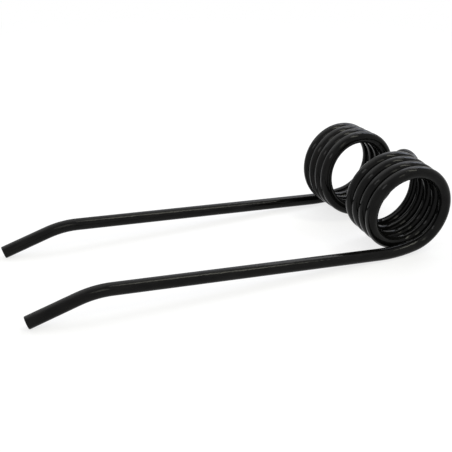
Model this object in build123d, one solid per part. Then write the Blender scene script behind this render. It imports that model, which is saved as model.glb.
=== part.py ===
from build123d import *
import os
from math import asin, atan2, ceil, cos, degrees, hypot, radians, sin

# Baler pick-up tine: one length of spring wire with two coils, a bridge that
# joins the coils' inner ends, and a leg with a bent tip from each outer end.
# It lies as it rests, on both tips and on the wire just before each coil.
# Lengths are in millimetres and angles in degrees.

# Wire
wire_diameter = 5.5
end_round = 0.45

# Coils, with their turns counted from the leg to the bridge
coil_bore = 30.2
coil_turns = 4.25
turn_gap = 0.2
coil_lean = 3.0

# Bridge, an arch over the fastening bolt
bolt_gap = 13.5
upright_length = 2.5

# Legs, with radii on the wire's centreline
lead_out_radius = 66.0
lead_out_turn = 15.0
leg_length = 121.0
toe_in = 0.7
tip_bend_radius = 38.0
tip_bend_turn = 21.0
tip_length = 21.0

wire_radius = wire_diameter / 2
coil_radius = (coil_bore + wire_diameter) / 2
pitch = wire_diameter + turn_gap
arch_radius = (bolt_gap + wire_diameter) / 2
up = Vector(0, 0, 1)
across = Vector(0, 1, 0)


def bend(start, heading, new_heading, radius):
    """Arc that turns the wire from one heading to another."""
    turn = radians(heading.get_angle(new_heading))
    inward = (new_heading - heading * cos(turn)) * (1 / sin(turn))
    end = start + heading * (radius * sin(turn)) + inward * (radius * (1 - cos(turn)))
    return TangentArc(start, end, tangent=heading)


def straight(start, heading, length):
    """Straight stretch of wire."""
    return Line(start, start + heading * length)


def wound_coil():
    """Turns of the near coil about Y, from the end of the lead-out to the bridge."""
    wound = coil_turns - lead_out_turn / 360
    stretches = ceil(2 * wound)
    share = wound / stretches
    rise = pitch * share
    start = radians(lead_out_turn - 90)
    mandrel = Plane((0, 0, 0), x_dir=(cos(start), 0, sin(start)), z_dir=(0, 1, 0))
    place = Rot(coil_lean, 0, 0) * mandrel.location
    helices = []
    for k in range(stretches):
        helix = Helix(pitch, rise, coil_radius, lefthand=True)
        along = (k - stretches / 2) * rise
        helices.append(place * Pos(0, 0, along) * Rot(0, 0, -360 * share * k) * helix)
    return Wire(helices)


def bridge(coil):
    """Upright from the coil's inner end, and the arch up to its crown."""
    upright = straight(coil @ 1, coil % 1, upright_length)
    arch = bend(upright @ 1, coil % 1, across, arch_radius)
    return upright, arch


def leg_and_tip(coil):
    """Lead-out from the coil's outer end, straight leg, tip bend and tip."""
    toe = radians(toe_in)
    droop = radians(tip_bend_turn)
    along_leg = Vector(-cos(toe), sin(toe), 0)
    along_tip = along_leg * cos(droop) - up * sin(droop)
    lead_out = bend(coil @ 0, (coil % 0) * -1, along_leg, lead_out_radius)
    leg = straight(lead_out @ 1, along_leg, leg_length)
    tip_bend = bend(leg @ 1, along_leg, along_tip, tip_bend_radius)
    tip = straight(tip_bend @ 1, along_tip, tip_length)
    return lead_out, leg, tip_bend, tip


def ground_slope(leg, tip):
    """Slope of the ground that touches the lead-out and the tip's lower edge."""
    droop = radians(tip_bend_turn)
    lead_out_centre = leg @ 0 + up * lead_out_radius
    edge_x = (wire_radius - end_round) * sin(droop) + end_round * cos(droop)
    edge_z = end_round * sin(droop) - (wire_radius - end_round) * cos(droop)
    edge_centre = tip @ 1 + Vector(edge_x, 0, edge_z)
    span = lead_out_centre - edge_centre
    drop = lead_out_radius + wire_radius - end_round
    return degrees(atan2(span.Z, span.X) - asin(drop / hypot(span.X, span.Z)))


def cut_tip(tip):
    """Straight tip, cut square with its edge slightly rounded."""
    rod = extrude(Plane(tip @ 0, z_dir=tip % 0) * Circle(wire_radius), amount=tip_length)
    cut_end = rod.faces().sort_by_distance(tip @ 1)[0]
    return fillet(cut_end.edges(), end_round)


def pickup_tine():
    """Whole tine: the near half joined to its mirror image at the bridge's crown."""
    coil = wound_coil()
    upright, arch = bridge(coil)
    lead_out, leg, tip_bend, tip = leg_and_tip(coil)
    path = Wire([tip_bend, leg, lead_out, *coil.edges(), upright, arch])
    section = Plane(path @ 0, z_dir=path % 0) * Circle(wire_radius)
    half = sweep(section, path=path) + cut_tip(tip)

    crown = arch @ 1
    near = Pos(0, -crown.Y, 0) * half
    tine = Rot(0, ground_slope(leg, tip), 0) * (near + mirror(near, about=Plane.XZ))
    box = tine.bounding_box()
    return Pos(-box.center().X, 0, -box.min.Z) * tine


if __name__ == "__main__":
    os.makedirs("parts", exist_ok=True)
    tine = pickup_tine()
    export_step(tine, "parts/pickup_tine.step")
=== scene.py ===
from math import asin, atan2, ceil, cos, hypot, pi, radians, sin, tau

import bpy
from mathutils import Matrix, Vector


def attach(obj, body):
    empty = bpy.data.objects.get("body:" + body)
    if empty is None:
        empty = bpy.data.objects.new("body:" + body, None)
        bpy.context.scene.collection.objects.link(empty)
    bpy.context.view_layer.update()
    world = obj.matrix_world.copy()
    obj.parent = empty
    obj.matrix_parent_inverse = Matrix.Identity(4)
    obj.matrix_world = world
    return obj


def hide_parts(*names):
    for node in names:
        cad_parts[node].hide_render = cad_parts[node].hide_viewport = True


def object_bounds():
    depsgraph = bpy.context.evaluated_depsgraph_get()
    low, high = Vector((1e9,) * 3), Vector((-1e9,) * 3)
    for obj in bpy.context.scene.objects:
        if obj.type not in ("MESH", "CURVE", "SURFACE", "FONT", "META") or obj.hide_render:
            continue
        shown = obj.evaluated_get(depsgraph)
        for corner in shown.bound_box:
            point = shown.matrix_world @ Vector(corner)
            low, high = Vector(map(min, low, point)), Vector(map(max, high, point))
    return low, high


# Baler pick-up tine on a white studio floor. Lengths are in metres, in the part's own frame:
# +X from the tips towards the coils, +Y from the near leg to the far one, +Z up.

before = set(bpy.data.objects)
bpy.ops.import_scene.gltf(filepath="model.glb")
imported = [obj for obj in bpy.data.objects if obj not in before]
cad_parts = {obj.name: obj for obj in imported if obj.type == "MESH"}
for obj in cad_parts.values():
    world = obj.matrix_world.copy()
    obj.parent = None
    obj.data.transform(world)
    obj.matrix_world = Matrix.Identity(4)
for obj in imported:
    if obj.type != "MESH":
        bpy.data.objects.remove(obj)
cad_low, cad_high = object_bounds()
mm = 0.001
across = Vector((0, 1, 0))
up = Vector((0, 0, 1))

# The bent wire, with the sizes of the part
wire_radius = 2.75 * mm
end_round = 0.45 * mm
coil_radius = 17.85 * mm
coil_turns = 4.25
coil_pitch = 5.7 * mm
coil_lean = radians(3.0)
upright_length = 2.5 * mm
arch_radius = 9.5 * mm
lead_out_radius = 66.0 * mm
lead_out_turn = radians(15.0)
leg_length = 121.0 * mm
toe_in = radians(0.7)
tip_bend_radius = 38.0 * mm
tip_bend_turn = radians(21.0)
tip_length = 21.0 * mm

# The mesh of the wire
ring_sides = 56
straight_spacing = 3.0 * mm
turn_spacing = radians(3.2)
face_steps = 4
round_steps = 5

# The photograph's camera
picture_side = 452
focal_pixels = 782.6
camera_target = Vector((6.84, 17.89, 3.62)) * mm
camera_distance = 371.2 * mm
camera_azimuth = radians(-22.30)
camera_elevation = radians(25.70)
camera_roll = radians(0.34)
sensor_side = 36.0
clip_near = 0.01
clip_far = 20

# The world: its fill light, and its strength where it is seen
white = (1, 1, 1, 1)
fill_strength = 0.1
white_strength = 1.0

# The floor: its grey for the light that it throws back, and its grey and glow where it is seen.
# Between fade_start and fade_end from the part's middle it turns plain white.
floor_white = 0.8
floor_shade = 0.3
floor_glow = 0.775
floor_reach = 4.0
fade_start = 0.22
fade_end = 0.55

# The paint: its shade and roughness vary from the first value to the second
paint_dark = (0.0027, 0.0027, 0.0027, 1)
paint_light = (0.0092, 0.0091, 0.0089, 1)
paint_smooth = 0.04
paint_rough = 0.13
paint_specular = 0.095
draw_line_depth = 0.02 * mm
orange_peel_depth = 0.05 * mm

# Noises in the paint: cells in a metre around the wire, cells in a metre along it, detail
shade_noise = (500, 150, 4.0)
gloss_noise = (160, 60, 3.0)
draw_line_noise = (1100, 25, 2.0)
orange_peel_noise = (700, 500, 1.0)

# The part of a noise that is in use
noise_low = 0.3
noise_high = 0.7

# Sockets of the colour mix node, where several sockets share a name
mix_share = 0
mix_first = 6
mix_second = 7
mix_result = 2

# Lamps, placed where the photograph's reflections say that its lamps were, all at one height:
# name, centre, size, radiance, turn in degrees, tint
lamp_height = 2.0
plain = (1.0, 1.0, 1.0)
bluish = (0.80, 0.85, 1.0)
yellowish = (1.0, 1.0, 0.85)
lamps = [
    ("ceiling", (-0.28, 1.17), (2.75, 1.76), 1.45, -2, plain),
    ("front_edge", (-0.09, -0.06), (3.09, 0.33), 1.1, 0, plain),
    ("left_rim", (-1.44, 2.94), (2.16, 3.28), 1.4, 32, plain),
    ("right_panel", (1.30, 0.84), (0.46, 1.30), 4.5, -4, plain),
    ("right_back", (1.70, 2.60), (1.50, 2.60), 1.7, 0, bluish),
    ("right_far", (2.78, 1.26), (2.42, 0.84), 6.6, 27, bluish),
    ("strip", (0.92, -0.90), (1.39, 0.34), 9.4, -54, yellowish),
    ("front_strip", (0.23, -2.73), (0.60, 2.27), 3.2, 14, yellowish),
    ("left_lamp", (-2.26, -1.16), (1.00, 1.20), 4.2, 0, plain),
]


def straight(start, heading, length):
    """Stations along a straight run, as pairs of a point and a heading, after its start."""
    steps = max(1, ceil(length / straight_spacing))
    return [(start + heading * (length * k / steps), heading) for k in range(1, steps + 1)]


def bend(start, heading, new_heading, radius):
    """Stations along an arc from one heading to another, after its start."""
    turn = heading.angle(new_heading)
    inward = (new_heading - heading * cos(turn)) / sin(turn)
    steps = max(2, ceil(turn / turn_spacing))
    stations = []
    for k in range(1, steps + 1):
        a = turn * k / steps
        point = start + heading * (radius * sin(a)) + inward * (radius * (1 - cos(a)))
        stations.append((point, heading * cos(a) + inward * sin(a)))
    return stations


def coil():
    """Stations along the near coil, from the end of the lead-out to the bridge."""
    wound = tau * coil_turns - lead_out_turn
    steps = ceil(wound / turn_spacing)
    lean = Matrix.Rotation(coil_lean, 3, "X")
    rise = coil_pitch / tau
    stations = []
    for k in range(steps + 1):
        turned = wound * k / steps
        a = lead_out_turn - pi / 2 + turned
        point = Vector((coil_radius * cos(a), rise * (turned - wound / 2), coil_radius * sin(a)))
        heading = Vector((-coil_radius * sin(a), rise, coil_radius * cos(a))).normalized()
        stations.append((lean @ point, lean @ heading))
    return stations


def half_route():
    """Stations of the near half as it was bent, from its tip to the crown, and where its leg starts."""
    turns = coil()
    first, first_heading = turns[0]
    along_leg = Vector((-cos(toe_in), sin(toe_in), 0))
    along_tip = along_leg * cos(tip_bend_turn) - up * sin(tip_bend_turn)
    outward = bend(first, -first_heading, along_leg, lead_out_radius)
    leg_start = outward[-1][0]
    outward += straight(leg_start, along_leg, leg_length)
    outward += bend(outward[-1][0], along_leg, along_tip, tip_bend_radius)
    outward += straight(outward[-1][0], along_tip, tip_length - end_round)

    last, last_heading = turns[-1]
    inward = straight(last, last_heading, upright_length)
    inward += bend(inward[-1][0], last_heading, across, arch_radius)

    stations = [(point, -heading) for point, heading in reversed(outward)] + turns + inward
    return stations, leg_start


def ground_slope(tip, leg_start):
    """Slope of the ground that touches the lead-out and the tip's lower edge."""
    edge_x = (wire_radius - end_round) * sin(tip_bend_turn)
    edge_z = -(wire_radius - end_round) * cos(tip_bend_turn)
    span = leg_start + up * lead_out_radius - tip - Vector((edge_x, 0, edge_z))
    drop = lead_out_radius + wire_radius - end_round
    return atan2(span.z, span.x) - asin(drop / hypot(span.x, span.z))


def rings(stations):
    """Centre, heading and the two cross directions of each ring, without twist."""
    side = stations[0][1].cross(up).normalized()
    frames = []
    for point, heading in stations:
        side = (side - heading * side.dot(heading)).normalized()
        frames.append((point, heading, side, heading.cross(side)))
    return frames


def end_rings(ring_at_tip):
    """Rings of the cut end with their radii, from inside its face out over the rounded edge."""
    point, heading, side, other = ring_at_tip
    flat = wire_radius - end_round
    made = []
    for k in range(1, face_steps):
        made.append((point - heading * end_round, heading, side, other, flat * k / face_steps))
    for k in range(round_steps):
        a = pi / 2 * k / round_steps
        centre = point - heading * (end_round * cos(a))
        made.append((centre, heading, side, other, flat + end_round * sin(a)))
    return made


def near_half(frames):
    """Points, places in the unbent wire and faces of the near half, from its tip to the crown."""
    circles = end_rings(frames[0]) + [(*f, wire_radius) for f in frames]
    points = [frames[0][0] - frames[0][1] * end_round]
    unbent = [Vector((0, 0, 0))]
    along = 0.0
    before = circles[0][0]
    for centre, heading, side, other, radius in circles:
        along += (centre - before).length
        before = centre
        for k in range(ring_sides):
            a = tau * k / ring_sides
            points.append(centre + side * (radius * cos(a)) + other * (radius * sin(a)))
            unbent.append(Vector((radius * cos(a), radius * sin(a), along)))

    faces = [(0, 1 + (k + 1) % ring_sides, 1 + k) for k in range(ring_sides)]
    for r in range(len(circles) - 1):
        near = 1 + r * ring_sides
        far = near + ring_sides
        for k in range(ring_sides):
            n = (k + 1) % ring_sides
            faces.append((near + k, near + n, far + n, far + k))
    return points, unbent, faces


def both_halves(points, unbent, faces):
    """The near half and its mirror image, joined at the ring on the crown."""
    crown = len(points) - ring_sides
    twin = {i: i if i >= crown else len(points) + i for i in range(len(points))}
    length = unbent[-1].z
    points = points + [Vector((p.x, -p.y, p.z)) for p in points[:crown]]
    unbent = unbent + [Vector((q.x, -q.y, 2 * length - q.z)) for q in unbent[:crown]]
    faces = faces + [tuple(twin[i] for i in reversed(f)) for f in faces]
    return points, unbent, faces


def tine_mesh(stations):
    """Closed mesh of the whole wire, with each point's place in the unbent wire."""
    points, unbent, faces = both_halves(*near_half(rings(stations)))
    mesh = bpy.data.meshes.new("wire")
    mesh.from_pydata(points, [], faces)
    mesh.shade_smooth()
    attribute = mesh.attributes.new("unbent", "FLOAT_VECTOR", "POINT")
    attribute.data.foreach_set("vector", [c for q in unbent for c in q])
    mesh.update()
    return mesh


def resting_tine():
    """Mesh of the tine, turned to where it rests, with its box on the part's box."""
    stations, leg_start = half_route()
    slope = ground_slope(stations[0][0], leg_start)
    place = Matrix.Rotation(slope, 4, "Y") @ Matrix.Translation((0, -stations[-1][0].y, 0))
    turn = place.to_3x3()
    mesh = tine_mesh([(place @ point, (turn @ heading).normalized()) for point, heading in stations])
    low_x = min(v.co.x for v in mesh.vertices)
    high_x = max(v.co.x for v in mesh.vertices)
    low_z = min(v.co.z for v in mesh.vertices)
    middle = (cad_low.x + cad_high.x) / 2
    mesh.transform(Matrix.Translation((middle - (low_x + high_x) / 2, 0, cad_low.z - low_z)))
    return mesh


class Nodes:
    """Short ways to add shader nodes to a new material or world."""

    def __init__(self, owner):
        owner.use_nodes = True
        self.tree = owner.node_tree
        self.tree.nodes.clear()

    def add(self, kind, inputs=(), **settings):
        """New node, with each input set to a value or linked to another node's output."""
        node = self.tree.nodes.new(kind)
        for name, value in settings.items():
            setattr(node, name, value)
        for name, value in dict(inputs).items():
            if isinstance(value, bpy.types.NodeSocket):
                self.tree.links.new(value, node.inputs[name])
            else:
                node.inputs[name].default_value = value
        return node

    def matt(self, grey):
        """Matt surface of one grey."""
        return self.add("ShaderNodeBsdfDiffuse", {"Color": (grey, grey, grey, 1)}).outputs[0]

    def glow(self, strength):
        """Surface that shines white."""
        return self.add("ShaderNodeEmission", {"Color": white, "Strength": strength}).outputs[0]

    def sky(self, strength):
        """World that shines white."""
        return self.add("ShaderNodeBackground", {"Color": white, "Strength": strength}).outputs[0]

    def mix(self, share, first, second):
        """First shader where the share is 0, second shader where it is 1."""
        return self.add("ShaderNodeMixShader", {0: share, 1: first, 2: second}).outputs[0]

    def larger(self, first, second):
        """Larger of two values."""
        return self.add("ShaderNodeMath", {0: first, 1: second}, operation="MAXIMUM").outputs[0]

    def seen_directly(self):
        """1 for rays from the camera, and for reflected and refracted ones, and 0 for the rest."""
        path = self.add("ShaderNodeLightPath").outputs
        camera_or_glossy = self.larger(path["Is Camera Ray"], path["Is Glossy Ray"])
        return self.larger(camera_or_glossy, path["Is Transmission Ray"])


def black_paint():
    """Gloss black paint over drawn wire: lines along the wire, orange peel and uneven gloss."""
    material = bpy.data.materials.new("black_paint")
    n = Nodes(material)
    unbent = n.add("ShaderNodeAttribute", attribute_name="unbent").outputs["Vector"]

    def noise(around, along, detail):
        """Noise from 0 to 1 with that many cells in a metre around the wire and along it."""
        stretch = {0: unbent, 1: (around, around, along)}
        place = n.add("ShaderNodeVectorMath", stretch, operation="MULTIPLY").outputs[0]
        cells = {"Vector": place, "Scale": 1.0, "Detail": detail}
        return n.add("ShaderNodeTexNoise", cells).outputs["Fac"]

    def spread(value, low, high):
        """The part of a noise that is in use, spread from low to high."""
        span = {"From Min": noise_low, "From Max": noise_high, "To Min": low, "To Max": high}
        return n.add("ShaderNodeMapRange", {"Value": value, **span}).outputs[0]

    def bump(height, depth, below=None):
        """Normal of a surface with bumps of that depth, over the bumps below if there are any."""
        inputs = {"Height": height, "Strength": 1.0, "Distance": depth}
        if below is not None:
            inputs["Normal"] = below
        return n.add("ShaderNodeBump", inputs).outputs[0]

    share = spread(noise(*shade_noise), 0.0, 1.0)
    shades = {mix_share: share, mix_first: paint_dark, mix_second: paint_light}
    lines = bump(noise(*draw_line_noise), draw_line_depth)
    paint = {
        "Base Color": n.add("ShaderNodeMix", shades, data_type="RGBA").outputs[mix_result],
        "Roughness": spread(noise(*gloss_noise), paint_smooth, paint_rough),
        "Specular IOR Level": paint_specular,
        "Normal": bump(noise(*orange_peel_noise), orange_peel_depth, lines),
    }
    shader = n.add("ShaderNodeBsdfPrincipled", paint)
    n.add("ShaderNodeOutputMaterial", {"Surface": shader.outputs[0]})
    return material


def white_world():
    """Plain fill light, seen as white."""
    world = bpy.data.worlds.new("studio")
    bpy.context.scene.world = world
    n = Nodes(world)
    both = n.mix(n.seen_directly(), n.sky(fill_strength), n.sky(white_strength))
    n.add("ShaderNodeOutputWorld", {"Surface": both})


def floor_paint():
    """Matt white that, where it is seen, mostly glows, so that the part's shadows are faint."""
    material = bpy.data.materials.new("floor")
    n = Nodes(material)
    place = n.add("ShaderNodeTexCoord").outputs["Object"]
    away = n.add("ShaderNodeVectorMath", {0: place}, operation="LENGTH").outputs["Value"]
    span = {"Value": away, "From Min": fade_start, "From Max": fade_end}
    fade = n.add("ShaderNodeMapRange", span, interpolation_type="SMOOTHSTEP").outputs[0]
    near = n.add("ShaderNodeAddShader", {0: n.matt(floor_shade), 1: n.glow(floor_glow)}).outputs[0]
    seen = n.mix(fade, near, n.glow(white_strength))
    both = n.mix(n.seen_directly(), n.matt(floor_white), seen)
    n.add("ShaderNodeOutputMaterial", {"Surface": both})
    return material


def put(name, data):
    """New object in the scene."""
    made = bpy.data.objects.new(name, data)
    bpy.context.collection.objects.link(made)
    return made


def floor():
    """Square floor under the part."""
    corners = [(-1, -1), (1, -1), (1, 1), (-1, 1)]
    mesh = bpy.data.meshes.new("floor")
    mesh.from_pydata([(x * floor_reach, y * floor_reach, 0) for x, y in corners], [], [(0, 1, 2, 3)])
    mesh.materials.append(floor_paint())
    put("floor", mesh)


def softbox(name, centre, size, radiance, turn, tint):
    """Rectangular lamp that shines straight down, turned by degrees round the upright axis."""
    width, depth = size
    lamp = bpy.data.lights.new(name, "AREA")
    lamp.shape = "RECTANGLE"
    lamp.size = width
    lamp.size_y = depth
    lamp.energy = radiance * pi * width * depth
    lamp.color = tint
    holder = put(name, lamp)
    holder.location = (*centre, lamp_height)
    holder.rotation_euler = (0, 0, radians(turn))


def camera():
    """The photograph's camera."""
    data = bpy.data.cameras.new("camera")
    data.sensor_width = sensor_side
    data.lens = focal_pixels * sensor_side / picture_side
    data.clip_start = clip_near
    data.clip_end = clip_far
    back = Vector((
        sin(camera_azimuth) * cos(camera_elevation),
        -cos(camera_azimuth) * cos(camera_elevation),
        sin(camera_elevation),
    ))
    turn = (-back).to_track_quat("-Z", "Y").to_matrix() @ Matrix.Rotation(camera_roll, 3, "Z")
    holder = put("camera", data)
    holder.location = camera_target + back * camera_distance
    holder.rotation_euler = turn.to_euler()
    bpy.context.scene.camera = holder


camera()
white_world()
floor()
for lamp_values in lamps:
    softbox(*lamp_values)

wire = put("spring_wire", resting_tine())
wire.data.materials.append(black_paint())
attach(wire, "root")
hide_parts("pickup_tine")

bpy.context.scene.view_settings.view_transform = "Standard"
